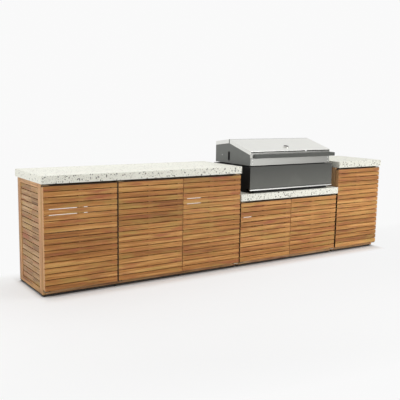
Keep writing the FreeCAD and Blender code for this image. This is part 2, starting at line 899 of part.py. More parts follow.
def build_gas_inlet():
    """Pipe out of the rail's right end, a nut on the cheek and an elbow with the hose thread to the back."""
    start = grill_centre + body_half
    half = inlet_elbow_size / 2
    elbow_x = inlet_elbow_x()
    cheek_outside = elbow_x - half - inlet_nut_length
    pipe = rod((start, manifold_y, manifold_z), (1, 0, 0), inlet_pipe_radius, cheek_outside - start)
    corners = [math.radians(60 * n) for n in range(6)]
    hexagon = [(manifold_y + inlet_nut_radius * math.cos(a), manifold_z + inlet_nut_radius * math.sin(a))
               for a in corners]
    nut = prism(hexagon, (cheek_outside, elbow_x - half))
    elbow = board((elbow_x - half, elbow_x + half), (manifold_y - half, manifold_y + half),
                  (manifold_z - half, manifold_z + half), "z", inlet_elbow_ease)
    thread = rod((elbow_x, manifold_y + half, manifold_z), (0, 1, 0), inlet_thread_radius,
                 inlet_thread_length)
    save("barbecue_gas_inlet", [joined([pipe, nut, elbow, thread])])


def build_knobs():
    back = panel_front - knob_gap
    front = back - knob_length
    for number, x in enumerate(burner_xs, 1):
        dial = rod((x, front, knob_z), (0, 1, 0), knob_radius, knob_length)
        grip = box((x - knob_grip_width / 2, x + knob_grip_width / 2), (front - knob_grip_height, front),
                   (knob_z - knob_radius, knob_z + knob_radius))
        grip_round = rod((x, front - knob_grip_height, knob_z), (0, 1, 0), knob_radius, knob_grip_height)
        grip = grip.common(grip_round)
        stem = rod((x, back, knob_z), (0, 1, 0), stem_radius, panel_back + stem_in_valve - back)
        save("barbecue_knob_%d" % number, [joined([dial, grip, stem])])


# Front flap and drip tray

def build_flap():
    """A folded front sheet that hinges on a stub pin at each lower corner."""
    shell = box(across(fascia_half), (fascia_front, flap_back), (fascia_bottom, fascia_top))
    hollow = box(across(fascia_half - flap_sheet), (fascia_front + flap_sheet, flap_back),
                 (fascia_bottom + flap_sheet, fascia_top - flap_sheet))
    axis_y, axis_z = flap_axis()
    pins = []
    for side in (-1, 1):
        x = at_side(side, fascia_half - flap_sheet, cheek_inner_half + cheek_sheet)
        pins.append(rod((x[0], axis_y, axis_z), (1, 0, 0), flap_pin_radius, x[1] - x[0]))
    save("barbecue_front_flap", [joined([shell.cut(hollow)] + pins)])


def build_drip_tray():
    """A pan that hangs by its side flanges on the runners, behind a full-width front lip."""
    top = lip_top - tray_sheet
    half = tray_width / 2
    y = (flap_back, firebox_back - base_rear_rail_width - tray_rear_gap)
    z = (top - tray_depth, top)
    pan = box(across(half), y, z)
    hollow = box(across(half - tray_sheet), (y[0] + tray_sheet, y[1] - tray_sheet),
                 (z[0] + tray_sheet, z[1]))
    flanges = [box(at_side(side, half, half + tray_flange), y, (top - tray_sheet, top)) for side in (-1, 1)]
    save("drip_tray_pan", [joined([pan.cut(hollow)] + flanges)])
    lip = board(across(fascia_half), (fascia_front - lip_stand_out, flap_back), (lip_bottom, lip_top), "x")
    save("drip_tray_lip", [lip])


# Hood

hood_width = rim_width - 2 * hood_side_room
hood_half = hood_width / 2
hood_bottom = rim_top + hood_lift
hood_front = worktop_front + hood_front_setback
hood_back = worktop_back - hood_back_room
ridge_y = worktop_front + hood_ridge_from_front
nose_y = hood_front - hood_nose
nose_z = low_height + hood_nose_height
ridge_z = nose_z + hood_ridge_rise
rear_z = ridge_z - hood_rear_fall
slope = math.atan2(ridge_z - nose_z, ridge_y - nose_y)
front_panel_top = nose_z - hood_front_gap
hinge_from_centre = hood_half - hinge_end_room


def roof(y):
    """The level of the hood's outside along its depth."""
    if y <= ridge_y:
        return nose_z + (y - nose_y) * math.tan(slope)
    return ridge_z + (rear_z - ridge_z) * (y - ridge_y) / (hood_back - ridge_y)


def roof_band(y0, y1, drop):
    """An outline that follows the roof between two depths and is as thick as the drop."""
    return [(y0, roof(y0)), (y1, roof(y1)), (y1, roof(y1) - drop), (y0, roof(y0) - drop)]


def flange_spans():
    return [at_side(side, hood_half - hood_sheet, hood_half) for side in (-1, 1)]


def build_hood_top():
    """The sloping sheet with its side flanges, drilled for the gauge. A slit at the ridge lets smoke out."""
    roof_end = ridge_y - hood_cap_gap / 2
    sheet = prism(roof_band(nose_y, roof_end, hood_sheet), across(hood_half))
    flanges = [prism(roof_band(hood_front, roof_end, hood_flange), x) for x in flange_spans()]
    stem = gauge_rod(-gauge_stem_length, gauge_stem_radius + gauge_stem_play, gauge_stem_length)
    save("hood_top_sheet", [joined([sheet] + flanges).cut(stem)])


def build_hood_rear():
    """The cap behind the ridge and the rear wall, with the moving half of each hinge."""
    cap_start = ridge_y + hood_cap_gap / 2
    cap = prism(roof_band(cap_start, hood_back, hood_sheet), across(hood_half))
    wall = box(across(hood_half), (hood_back - hood_sheet, hood_back), (hood_bottom, rear_z))
    flanges = [prism(roof_band(cap_start, hood_back - hood_sheet, hood_flange), x) for x in flange_spans()]
    save("hood_rear_cap", [joined([cap, wall] + flanges)] + [hinge_knuckle(side) for side in (-1, 1)])


def build_hood_ends():
    """End panels inside the flanges, each with a slot for a spit."""
    panels = []
    front = hood_front + hood_sheet
    rear = hood_back - hood_sheet
    outline = [(front, hood_bottom), (front, roof(front) - hood_panel_drop),
               (ridge_y, ridge_z - hood_panel_drop), (rear, roof(rear) - hood_panel_drop),
               (rear, hood_bottom)]
    slot_y = ridge_y + spit_slot_from_ridge
    radius = spit_slot_width / 2
    low = hood_bottom + spit_slot_low + radius
    high = hood_bottom + spit_slot_high - radius
    for side in (-1, 1):
        x = at_side(side, hood_half - 2 * hood_sheet, hood_half - hood_sheet)
        slot = [box(x, (slot_y - radius, slot_y + radius), (low, high))]
        slot += [rod((x[0], slot_y, z), (1, 0, 0), radius, hood_sheet) for z in (low, high)]
        panels.append(prism(outline, x).cut(joined(slot)))
    save("hood_end_panels", panels)


def build_hood_front():
    panel = box(across(hood_half - hood_sheet), (hood_front, hood_front + hood_sheet),
                (hood_bottom, front_panel_top))
    save("hood_front_panel", [panel])


handle_front = worktop_front - handle_projection
handle_bottom = nose_z - handle_below_nose
handle_top = handle_bottom + handle_height
bracket_outer_half = hood_half + handle_bracket_stand_out
bracket_inner_half = bracket_outer_half - handle_bracket_width


def build_handle():
    """A square tube with plugged ends, on two stand-off brackets behind it."""
    y = (handle_front, handle_front + handle_depth)
    z = (handle_bottom, handle_top)
    bore_y = (y[0] + handle_wall, y[1] - handle_wall)
    bore_z = (z[0] + handle_wall, z[1] - handle_wall)
    bore_ease = handle_ease - handle_wall / 2
    tube = board(across(bracket_outer_half), y, z, "x", handle_ease)
    bore = board(across(bracket_outer_half), bore_y, bore_z, "x", bore_ease)
    plugs = [board(at_side(side, bracket_outer_half - handle_plug_length, bracket_outer_half),
                   bore_y, bore_z, "x", bore_ease) for side in (-1, 1)]
    save("hood_handle_bar", [tube.cut(bore)] + plugs)
    lapped = (handle_bottom - handle_bracket_lap, handle_top + handle_bracket_lap)
    brackets = [board(at_side(side, bracket_inner_half, bracket_outer_half), (y[1], hood_front), lapped,
                      "y", handle_bracket_lap) for side in (-1, 1)]
    save("hood_handle_brackets", brackets)


def gauge_rod(start, radius, rod_length):
    """A round bar square to the slope, from a height over the sheet at the gauge's place."""
    y = hood_front + gauge_from_front
    up = (0, -math.sin(slope), math.cos(slope))
    foot = (grill_centre, y + start * up[1], roof(y) + start * up[2])
    return rod(foot, up, radius, rod_length)


def build_gauge():
    case = gauge_rod(0, gauge_radius, gauge_height)
    recess = gauge_rod(gauge_height - gauge_recess, gauge_radius - gauge_bezel, gauge_recess)
    stem = gauge_rod(-gauge_stem_length, gauge_stem_radius, gauge_stem_length)
    save("hood_gauge", [joined([case.cut(recess), stem])])


# Hood hinges

hinge_y = hood_back + hinge_behind_hood
hinge_z = rim_top + hinge_rise


def hinge_knuckle(side):
    """A leaf on the hood's rear wall with a barrel that turns on the bracket's pin."""
    centre = grill_centre + side * hinge_from_centre
    x = (centre - hinge_barrel_length / 2, centre + hinge_barrel_length / 2)
    leaf = box(x, (hood_back, hood_back + hinge_leaf_sheet), (hood_bottom, hood_bottom + hinge_leaf_height))
    web = box(x, (hood_back, hinge_y), (hinge_z - hinge_web_half, hinge_z + hinge_web_half))
    barrel = rod((x[0], hinge_y, hinge_z), (1, 0, 0), hinge_barrel_radius, hinge_barrel_length)
    bore = rod((x[0], hinge_y, hinge_z), (1, 0, 0), hinge_pin_radius + hinge_clearance, hinge_barrel_length)
    return joined([leaf, web, barrel]).cut(bore)


def hinge_bracket(side):
    """Two ears on the rim with a pin between them."""
    centre = grill_centre + side * hinge_from_centre
    near = hinge_barrel_length / 2 + hinge_ear_gap
    far = near + hinge_ear_sheet
    front, back, top = hinge_y - hinge_ear_half, hinge_y + hinge_ear_half, hinge_z + hinge_ear_half
    outline = [(front, rim_top), (front, top - hinge_ear_corner), (front + hinge_ear_corner, top),
               (back - hinge_ear_corner, top), (back, top - hinge_ear_corner), (back, rim_top)]
    ears = [prism(outline, (centre - far, centre - near)), prism(outline, (centre + near, centre + far))]
    pin = rod((centre - far, hinge_y, hinge_z), (1, 0, 0), hinge_pin_radius, 2 * far)
    return joined(ears + [pin])


def build_hinge_brackets():
    save("hood_hinge_brackets", [hinge_bracket(side) for side in (-1, 1)])


def main():
    os.makedirs("parts", exist_ok=True)
    build_worktops()
    build_frames()
    build_side_slats()
    build_dividers()
    build_floors()
    build_shelves()
    build_back_slats()
    build_glides()
    build_connectors()
    build_pivot_brackets()
    build_catches()
    build_doors()
    build_base()
    build_firebox()
    build_control_box()
    build_rim()
    build_support_bars()
    build_burners()
    build_tamers()
    build_cooking_plates()
    build_manifold()
    build_gas_inlet()
    build_knobs()
    build_flap()
    build_drip_tray()
    build_hood_top()
    build_hood_rear()
    build_hood_ends()
    build_hood_front()
    build_handle()
    build_gauge()
    build_hinge_brackets()


main()
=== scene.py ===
"""Looks of the outdoor kitchen: oiled teak slats, pale chip stone, stainless and painted steel."""
import collections
import math

import bmesh
import bpy
from mathutils import Matrix, Vector


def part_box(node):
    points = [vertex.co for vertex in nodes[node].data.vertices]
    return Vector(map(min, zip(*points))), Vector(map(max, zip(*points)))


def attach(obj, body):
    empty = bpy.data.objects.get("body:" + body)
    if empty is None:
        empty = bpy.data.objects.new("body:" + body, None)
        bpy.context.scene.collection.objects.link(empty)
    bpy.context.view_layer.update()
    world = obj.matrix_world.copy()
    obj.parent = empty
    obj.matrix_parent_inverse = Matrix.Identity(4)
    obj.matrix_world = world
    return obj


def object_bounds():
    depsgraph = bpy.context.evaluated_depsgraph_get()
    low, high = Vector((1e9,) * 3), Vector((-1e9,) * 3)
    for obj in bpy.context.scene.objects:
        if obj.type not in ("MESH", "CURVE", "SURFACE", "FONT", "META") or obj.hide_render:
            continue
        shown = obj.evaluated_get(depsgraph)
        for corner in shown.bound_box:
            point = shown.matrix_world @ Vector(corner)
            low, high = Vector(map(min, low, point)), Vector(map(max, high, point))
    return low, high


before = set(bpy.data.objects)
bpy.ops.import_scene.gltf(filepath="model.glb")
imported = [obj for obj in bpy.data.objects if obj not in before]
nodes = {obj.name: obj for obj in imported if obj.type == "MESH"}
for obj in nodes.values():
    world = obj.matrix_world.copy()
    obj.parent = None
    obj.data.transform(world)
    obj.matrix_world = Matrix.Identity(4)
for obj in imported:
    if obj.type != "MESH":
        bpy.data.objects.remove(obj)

cad_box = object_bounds()

# Camera, as the photograph was taken
camera_place = (-3.31265, -4.57408, 1.40856)
camera_right = (0.83169, -0.55498, 0.01645)
camera_up = (0.06767, 0.13073, 0.98909)
camera_ahead = (0.55109, 0.82152, -0.14628)
camera_lens = 56.05
camera_sensor = 36.0
camera_reach = 200.0

# Light
sky_light = 0.21
backdrop_white = 0.95
softboxes = (
    # name, place, aim, size, power, whether metal mirrors it
    ("right front", (2.1, -3.4, 1.2), (0.9, -0.28, 0.45), 1.8, 32.0, True),
    ("fill", (4.5, -4.0, 3.5), (0.9, 0.0, 0.5), 4.0, 116.0, False),
    ("left end", (-5.0, -0.8, 2.2), (-1.8, 0.0, 0.5), 3.0, 67.0, False),
    ("overhead", (-0.3, 0.5, 4.6), (-0.2, 0.1, 0.0), 8.0, 204.0, False),
)

# Floor: its colours, how it fades into the backdrop, the shadow that it keeps, and a painted contact shadow
floor_half = 60.0
floor_dull = (0.91, 0.91, 0.91, 1.0)
floor_pale = (0.93, 0.93, 0.92, 1.0)
floor_glow = 0.91
floor_spread = (0.30, 0.5, 1.0)
floor_fade_start = 0.62
floor_fade_rate = 1.6
rear_fade_start = 0.20
rear_fade_rate = 3.0
shadow_fade = 0.80
shadow_fade_rightwards = 0.13
shadow_reach = 0.10
end_sharpness = 3.0
contact_reach = 0.015
contact_depth = 2.0
painted_contact_shadow = (0.01, 0.01, 0.01, 1.0)

# Timber sizes that the grain follows, in metres
slat_height = 0.038
back_slat_height = 0.042
slat_pitch_wanted = 0.044
slat_ease = 0.0015
lining_margin = 0.006
stile_width = 0.066
frame_thickness = 0.030
frame_middle = 0.400
bay_width = 0.600
board_face = 0.140
rail_level = 0.042

# Painted shade on door edges and along the frame's foot, painted light on edges that show, and weathered
# and splashed places on the timber, in metres
meeting_reach = 0.012
top_shade_band = 0.003
gap_shade_wrap = 0.0065
foot_shade_band = 0.008
rear_band = 0.020
splash_height = 0.120
splash_fade = 0.100

# Which boards are drawn, and how far apart they lie in the grain
timber_draw = 33.0
slat_shift = 60.0
board_shift = 40.0

# A face counts as square to an axis above this share of its normal
squarely = 0.7

# Marks on stone and metal, in metres, and brush marks in waves a metre
stone_worn = 0.006
steel_worn = 0.004
paint_worn = 0.003
brush_waves = 900
joint_reach = 0.090
port_pitch = 0.012
port_rise = 0.006
port_radius = 0.0016
spit_slot_from_ridge = 0.005
spit_slot_low = 0.038
spit_slot_length = 0.055
spit_slot_radius = 0.011
slot_shade_reach = 0.010

# Soot inside the hood: the share that it covers, and how much patches add to that
soot_cover = 0.90
soot_patches = 0.08

# Screws and rivets, lengths in metres
screw_radius = 0.0040
screw_height = 0.0005
screw_sides = 12
stile_screw_inset = 0.0225
frame_screw_inset = 0.014
divider_screw_inset = 0.009
rivet_radius = 0.0045
rivet_height = 0.0016
rivet_sides = 16
front_rivet_inset = 0.022
front_rivet_levels = (0.018, 0.050)
end_rivet_from_rear = 0.099
end_rivet_height = 0.070

# Hood gauge, lengths in metres
hood_rise = 0.093
hood_run = 0.325
hood_slope = math.atan2(hood_rise, hood_run)
mark_height = 0.0003
gauge_radius = 0.026
gauge_recess = 0.003
dial_radius = 0.0213
dial_rim = 0.0012
dial_floor = 0.0003
dial_sides = 48
dial_marks = 13
dial_sweep = math.radians(270)
dial_mark_long = 0.0045
dial_mark_short = 0.0028
dial_mark_width = 0.0009
needle_angle = math.radians(-118)
needle_size = (0.015, 0.0016, 0.0006)
needle_centre = 0.0045
needle_taper = 0.3
hub_rings = ((0.0026, 0.0), (0.0026, 0.0010), (0.0018, 0.0016))
hub_sides = 20

# Knob pointers and scales, in metres. A pointer's centre and length are shares of the knob's radius
knob_numbers = range(1, 6)
knob_sweep = math.radians(220)
panel_behind_flap = 0.042
pointer_centre = 0.52
pointer_length = 0.70
pointer_taper = 0.6
pointer_width = 0.0016
scale_marks = 9
scale_gap = 0.009
scale_mark_length = 0.003
scale_mark_growth = 0.0006
scale_mark_width = 0.0014

# Doors, and ways along the axes
door_numbers = range(1, 7)
forward = (0, -1, 0)
backward = (0, 1, 0)
upward = (0, 0, 1)


def srgb(red, green, blue):
    """A colour as it looks on a screen, 0 to 255, as the shader wants it."""
    linear = []
    for part in (red, green, blue):
        part = part / 255
        linear.append(part / 12.92 if part <= 0.04045 else ((part + 0.055) / 1.055) ** 2.4)
    return (*linear, 1.0)


def plain_grey(level):
    return (level, level, level, 1.0)


# Shader sums

class Value:
    """A socket of a node tree that can stand in Python sums."""

    def __init__(self, tree, socket):
        self.tree = tree
        self.socket = socket

    def sum(self, operation, first, second):
        return self.tree.node("ShaderNodeMath", {"operation": operation}, {0: first, 1: second})

    def __add__(self, other):
        return self.sum("ADD", self, other)

    def __radd__(self, other):
        return self.sum("ADD", other, self)

    def __sub__(self, other):
        return self.sum("SUBTRACT", self, other)

    def __rsub__(self, other):
        return self.sum("SUBTRACT", other, self)

    def __mul__(self, other):
        return self.sum("MULTIPLY", self, other)

    def __rmul__(self, other):
        return self.sum("MULTIPLY", other, self)

    def __truediv__(self, other):
        return self.sum("DIVIDE", self, other)

    def __rtruediv__(self, other):
        return self.sum("DIVIDE", other, self)

    def __mod__(self, other):
        return self.sum("FLOORED_MODULO", self, other)

    def __gt__(self, other):
        return self.sum("GREATER_THAN", self, other)

    def __lt__(self, other):
        return self.sum("LESS_THAN", self, other)

    def __abs__(self):
        return self.sum("ABSOLUTE", self, 0.0)

    def floor(self):
        return self.sum("FLOOR", self, 0.0)

    def least(self, other):
        return self.sum("MINIMUM", self, other)

    def most(self, other):
        return self.sum("MAXIMUM", self, other)

    def wave(self, period):
        """Up and down between 0 and the period."""
        return self.sum("PINGPONG", self, period)

    def power(self, exponent):
        return self.sum("POWER", self, exponent)

    def clamp(self):
        return self.tree.node("ShaderNodeClamp", {}, {0: self})


class Tree:
    """A node tree, with one way to add any node."""

    def __init__(self, tree):
        self.tree = tree

    def feed(self, socket, value):
        if isinstance(value, Value):
            self.tree.links.new(value.socket, socket)
        else:
            socket.default_value = value

    def node(self, kind, settings=None, inputs=None, output=0):
        made = self.tree.nodes.new(kind)
        for name, value in (settings or {}).items():
            if name == "stops":
                self.set_stops(made.color_ramp.elements, value)
            else:
                setattr(made, name, value)
        for name, value in (inputs or {}).items():
            self.feed(made.inputs[name], value)
        return Value(self, made.outputs[output])

    @staticmethod
    def set_stops(elements, stops):
        while len(elements) < len(stops):
            elements.new(1.0)
        for element, (place, colour) in zip(elements, stops):
            element.position = place
            element.color = colour

    def seen_directly(self):
        """1 for what the camera, a reflection or a glass shows, and 0 for light on a surface."""
        camera = self.node("ShaderNodeLightPath", output="Is Camera Ray")
        glossy = self.node("ShaderNodeLightPath", output="Is Glossy Ray")
        through = self.node("ShaderNodeLightPath", output="Is Transmission Ray")
        return camera.most(glossy).most(through)


class Finish(Tree):
    """One procedural material: its shader and the nodes that feed it."""

    def __init__(self, name, **constants):
        self.material = bpy.data.materials.new(name)
        self.material.use_nodes = True
        super().__init__(self.material.node_tree)
        self.shader = self.tree.nodes["Principled BSDF"]
        for socket, value in constants.items():
            self.shader.inputs[socket].default_value = value
        self.place = self.node("ShaderNodeTexCoord", output="Object")
        self.x, self.y, self.z = [self.part(self.place, axis) for axis in "XYZ"]

    def part(self, vector, axis):
        return self.node("ShaderNodeSeparateXYZ", {}, {0: vector}, output=axis)

    def vector(self, operation, first, second, output=0):
        """A sum on vectors."""
        return self.node("ShaderNodeVectorMath", {"operation": operation}, {0: first, 1: second}, output)

    def stretched(self, waves, shift=None):
        """The place scaled by waves a metre along each axis, moved by an optional shift."""
        scaled = self.node("ShaderNodeMapping", {}, {"Vector": self.place, "Scale": waves})
        if shift is None:
            return scaled
        return self.vector("ADD", scaled, shift)

    def noise(self, place, detail=3.0, rough=0.55):
        return self.node("ShaderNodeTexNoise", {},
                         {"Vector": place, "Scale": 1.0, "Detail": detail, "Roughness": rough})

    def cloud(self, waves, detail=3.0, rough=0.55):
        """Even noise with that many waves a metre."""
        return self.noise(self.stretched((waves, waves, waves)), detail, rough)

    def key(self, *numbers):
        """Three whole numbers that name one board."""
        return self.node("ShaderNodeCombineXYZ", {}, dict(enumerate(numbers)))

    def chance(self, key):
        """A random value for each key."""
        return self.node("ShaderNodeTexWhiteNoise", {}, {"Vector": key}, output="Value")

    def scatter(self, key, reach):
        """A random shift for each key."""
        shift = self.node("ShaderNodeTexWhiteNoise", {}, {"Vector": key}, output="Color")
        return self.node("ShaderNodeVectorMath", {"operation": "SCALE"}, {0: shift, "Scale": reach})

    def blend(self, share, first, second):
        """A colour between two colours."""
        inputs = {0: share, 6: first, 7: second}
        return self.node("ShaderNodeMix", {"data_type": "RGBA"}, inputs, output=2)

    def turn(self, share, first, second):
        """A vector between two vectors."""
        inputs = {0: share, 4: first, 5: second}
        return self.node("ShaderNodeMix", {"data_type": "VECTOR"}, inputs, output=1)

    def ramp(self, share, *stops):
        return self.node("ShaderNodeValToRGB", {"stops": stops}, {0: share}, output="Color")

    def outward(self):
        """The surface's normal in the piece's own frame, so that a door keeps its looks when it swings."""
        normal = self.node("ShaderNodeNewGeometry", output="True Normal")
        settings = {"vector_type": "NORMAL", "convert_from": "WORLD", "convert_to": "OBJECT"}
        return self.node("ShaderNodeVectorTransform", settings, {0: normal})

    def facing(self, axis):
        """How squarely the surface looks along an axis, from 0 to 1."""
        return abs(self.part(self.outward(), axis))

    def inside(self, centre):
        """1 on the faces of a shell that look towards its centre."""
        inward = self.vector("SUBTRACT", centre, self.place)
        return self.vector("DOT_PRODUCT", inward, self.outward(), output="Value") > 0.0

    def edge(self, low, high, width):
        """1 on the edges of a box and 0 farther from them than the width."""
        to_side = [(here - start).least(end - here)
                   for here, start, end in zip((self.x, self.y, self.z), low, high)]
        first, second, third = to_side
        middle = first.least(second).most(first.most(second).least(third))
        return (1 - middle / width).clamp()

    def dye(self, colour, rough, metal=None):
        self.feed(self.shader.inputs["Base Color"], colour)
        self.feed(self.shader.inputs["Roughness"], rough)
        if metal is not None:
            self.feed(self.shader.inputs["Metallic"], metal)

    def relief(self, height, strength, distance):
        bump = self.node("ShaderNodeBump", {},
                         {"Strength": strength, "Distance": distance, "Height": height}, output="Normal")
        self.feed(self.shader.inputs["Normal"], bump)

    def on(self, *names):
        """Gives this finish to nodes of the frame."""
        for name in names:
            nodes[name].data.materials.clear()
            nodes[name].data.materials.append(self.material)


# Teak

door_tones = (srgb(126, 75, 33), srgb(183, 124, 62), srgb(225, 172, 104))
end_tones = (srgb(122, 90, 60), srgb(166, 130, 92), srgb(203, 169, 129))
stile_tones = (srgb(124, 82, 48), srgb(201, 151, 101), srgb(242, 202, 154))
board_tones = (srgb(92, 58, 30), srgb(136, 94, 54), srgb(172, 130, 86))
rosy_teak = srgb(160, 86, 58)
golden_teak = srgb(178, 146, 76)
upper_pale_teak = srgb(218, 178, 138)
weathered_teak = srgb(148, 130, 114)
pore_brown = srgb(66, 40, 20)
# Colour of the painted shade on the rails and stile fronts behind the doors
rail_shade_brown = srgb(46, 30, 18)
# Colour of the painted shade on door edges and along the frames' foot
dark_edge_shade = srgb(22, 15, 10)
# Colour of the painted light on upright door edges that show
edge_light_teak = srgb(205, 158, 110)
teak_oil = 1.45

Rows = collections.namedtuple("Rows", "bottom pitch height")


def teak_waves(along, across, slimness):
    """Waves a metre along each axis, for marks that are that much longer than wide."""
    return [across / slimness if axis == along else across for axis in "xyz"]


def oil_teak(finish, tones, tone, run):
    """Teak with bands, streaks, growth lines, fibres and pores. run gives the place along the grain."""
    bands = finish.noise(run(30, 26), 2.0)
    streak = finish.noise(run(120, 55), 4.0, 0.62)
    fibre = finish.noise(run(900, 50), 3.0, 0.6)
    figure = (bands * 11 + streak * 1.4).wave(1.0)
    pores = ((finish.noise(run(1500, 14), 2.0) - 0.60) * 7).clamp()
    rosy = ((finish.noise(run(24, 6), 3.0) - 0.51) * 4.5).clamp()
    golden = ((finish.noise(run(19, 5), 2.0) - 0.49) * 4.5).clamp()
    share = 0.5 + (tone - 0.5) * 0.36 + (streak - 0.5) * 1.35 + (bands - 0.5) * 0.9 + (figure - 0.5) * 0.16
    dark, middle, light = tones
    wood = finish.ramp(share, (0.10, dark), (0.50, middle), (0.92, light))
    wood = finish.blend(golden * 0.65, wood, golden_teak)
    wood = finish.blend(rosy * 0.75, wood, rosy_teak)
    wood = finish.blend(((fibre - 0.46) * 2.2).clamp() * 0.34, wood, dark)
    wood = finish.blend(pores * 0.45, wood, pore_brown)
    rough = 0.50 + fibre * 0.16 + pores * 0.14
    finish.relief(fibre * 0.6 + figure * 0.25 - pores * 0.5, 0.40, 0.0006)
    return wood, rough


def end_grain(finish, wood, along, tones):
    """Darker pitted wood where a board is cut across."""
    rings = (finish.cloud(60, 2.0) * 9).wave(1.0)
    pits = finish.cloud(1100, 2.0)
    cut = finish.blend((rings * 0.5 + pits * 0.6 - 0.15).clamp(), pore_brown, tones[1])
    return finish.blend(finish.facing(along.upper()) > squarely, wood, cut)


def slat_rows(name, height=slat_height, margin=0.0):
    """The rows of slats that fill a node's box up to a margin."""
    low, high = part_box(name)
    span = high.z - low.z - 2 * margin
    count = round((span + slat_pitch_wanted - height) / slat_pitch_wanted)
    return Rows(low.z + margin, (span - height) / (count - 1), height)


def open_end(finish):
    """1 near the unit's ends, where two doors meet, and beside the barbecue above the middle worktop."""
    ends = (finish.x < cad_box[0].x + frame_thickness) + (finish.x > cad_box[1].x - frame_thickness)
    low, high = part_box("worktop_middle")
    from_middle = abs(finish.x - (low.x + high.x) / 2)
    by_barbecue = (abs(from_middle - (high.x - low.x) / 2) < frame_thickness) * (finish.z > high.z)
    meeting = abs(abs(finish.x) - bay_width) < meeting_reach
    return ends.most(by_barbecue).most(meeting)


def shade_and_light_door_edges(finish, wood, top):
    """Painted shade on a door's top and upright edges. Upright edges that show get painted light instead.

    At the gap between the first two doors the painted shade runs onto their faces.
    """
    upper = finish.z > top - top_shade_band
    first_gap = (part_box("door_1_slats")[1].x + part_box("door_2_slats")[0].x) / 2
    wrapped = abs(finish.x - first_gap) < gap_shade_wrap
    upright = finish.facing("X") > squarely
    shown = open_end(finish)
    # Painted light on the upright edges that show
    wood = finish.blend(upright * shown * (0.6 + finish.cloud(120) * 0.35), wood, edge_light_teak)
    # Painted shade on the top edges, on upright edges in the gaps, and on the faces beside the first gap
    return finish.blend(upper.most(upright * (1 - shown)).most(wrapped) * 0.94, wood, dark_edge_shade)


def slat_teak(label, along, rows, tones, other_rows=None, other_span=None, door=None):
    """Teak for level slats, each a board of its own. A span along X may have rows of its own."""
    finish = Finish(label, IOR=teak_oil)
    count = (finish.z - rows.bottom + slat_ease) / rows.pitch
    if other_rows:
        inside = (finish.x > other_span[0]) * (finish.x < other_span[1])
        other = (finish.z - other_rows.bottom + slat_ease) / other_rows.pitch
        count = count * (1 - inside) + other * inside
    row = count.floor()
    bay = ((finish.x - cad_box[0].x) / bay_width).floor()
    board = finish.key(bay + timber_draw, (finish.y > 0) * 5.0, row)
    shift = finish.scatter(board, slat_shift)
    wood, rough = oil_teak(finish, tones, finish.chance(board),
                           lambda across, slim: finish.stretched(teak_waves(along, across, slim), shift))
    from_low = (count - row) * rows.pitch - slat_ease
    arris = (1 - from_low.least(rows.height - from_low) / slat_ease).clamp()
    wood = finish.blend(arris * finish.cloud(40) * 0.5, wood, tones[2])
    wood = end_grain(finish, wood, along, tones)
    finish.dye(shade_and_light_door_edges(finish, wood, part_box(door)[1].z) if door else wood, rough)
    return finish


def frame_teak(label, node, tones):
    """Teak for a cabinet's frame: upright stiles and level side rails, with painted shade on the cross
    rails, on the stile fronts behind the doors and along the foot.
    """
    finish = Finish(label, IOR=teak_oil)
    low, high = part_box(node)
    stile = (finish.y < low.y + stile_width) + (finish.y > high.y - stile_width)
    inside = (finish.x > low.x + frame_thickness) * (finish.x < high.x - frame_thickness)

    def run(across, slim):
        side = finish.turn(stile, finish.stretched(teak_waves("y", across, slim)),
                           finish.stretched(teak_waves("z", across, slim)))
        return finish.turn(inside, side, finish.stretched(teak_waves("x", across, slim)))

    upper_rail = (finish.z > frame_middle) * (1 - stile)
    tone = finish.chance(finish.key((finish.x > 0) * 3.0, stile * 2.0 + (finish.y > 0), upper_rail))
    wood, rough = oil_teak(finish, tones, tone, run)
    splashed = ((finish.cloud(14) - 0.5) * 3).clamp() * ((splash_height - finish.z) / splash_fade).clamp()
    wood = finish.blend(splashed * 0.5, wood, pore_brown)
    # Paler towards the top, in patches
    wood = finish.blend(finish.z / high.z * finish.cloud(7) * 0.6, wood, upper_pale_teak)
    wood = finish.blend((finish.y > high.y - rear_band) * 0.5, wood, weathered_teak)
    front = (finish.y < low.y + slat_ease) * (finish.facing("Y") > squarely) * (1 - open_end(finish))
    # Painted shade: the cross rails and stile fronts behind the doors are darkened, most above rail_level
    rail_shade = front.most(inside) * (0.20 + (finish.z > rail_level) * 0.70)
    wood = finish.blend(rail_shade, wood, rail_shade_brown)
    # Painted shade along the frame's lowest band, where it meets the floor
    finish.dye(finish.blend((finish.z < low.z + foot_shade_band) * 0.9, wood, dark_edge_shade), rough)
    return finish


def plain_teak(label, along, tones, door=None):
    """Teak for boards and door stiles, with one run of grain."""
    finish = Finish(label, IOR=teak_oil)
    across = finish.y if along == "x" else finish.x
    board = finish.key((across / board_face).floor(), (finish.x / bay_width).floor(), 1.0)
    shift = finish.scatter(board, board_shift)
    wood, rough = oil_teak(finish, tones, finish.chance(board),
                           lambda width, slim: finish.stretched(teak_waves(along, width, slim), shift))
    wood = end_grain(finish, wood, along, tones)
    finish.dye(shade_and_light_door_edges(finish, wood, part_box(door)[1].z) if door else wood, rough)
    return finish


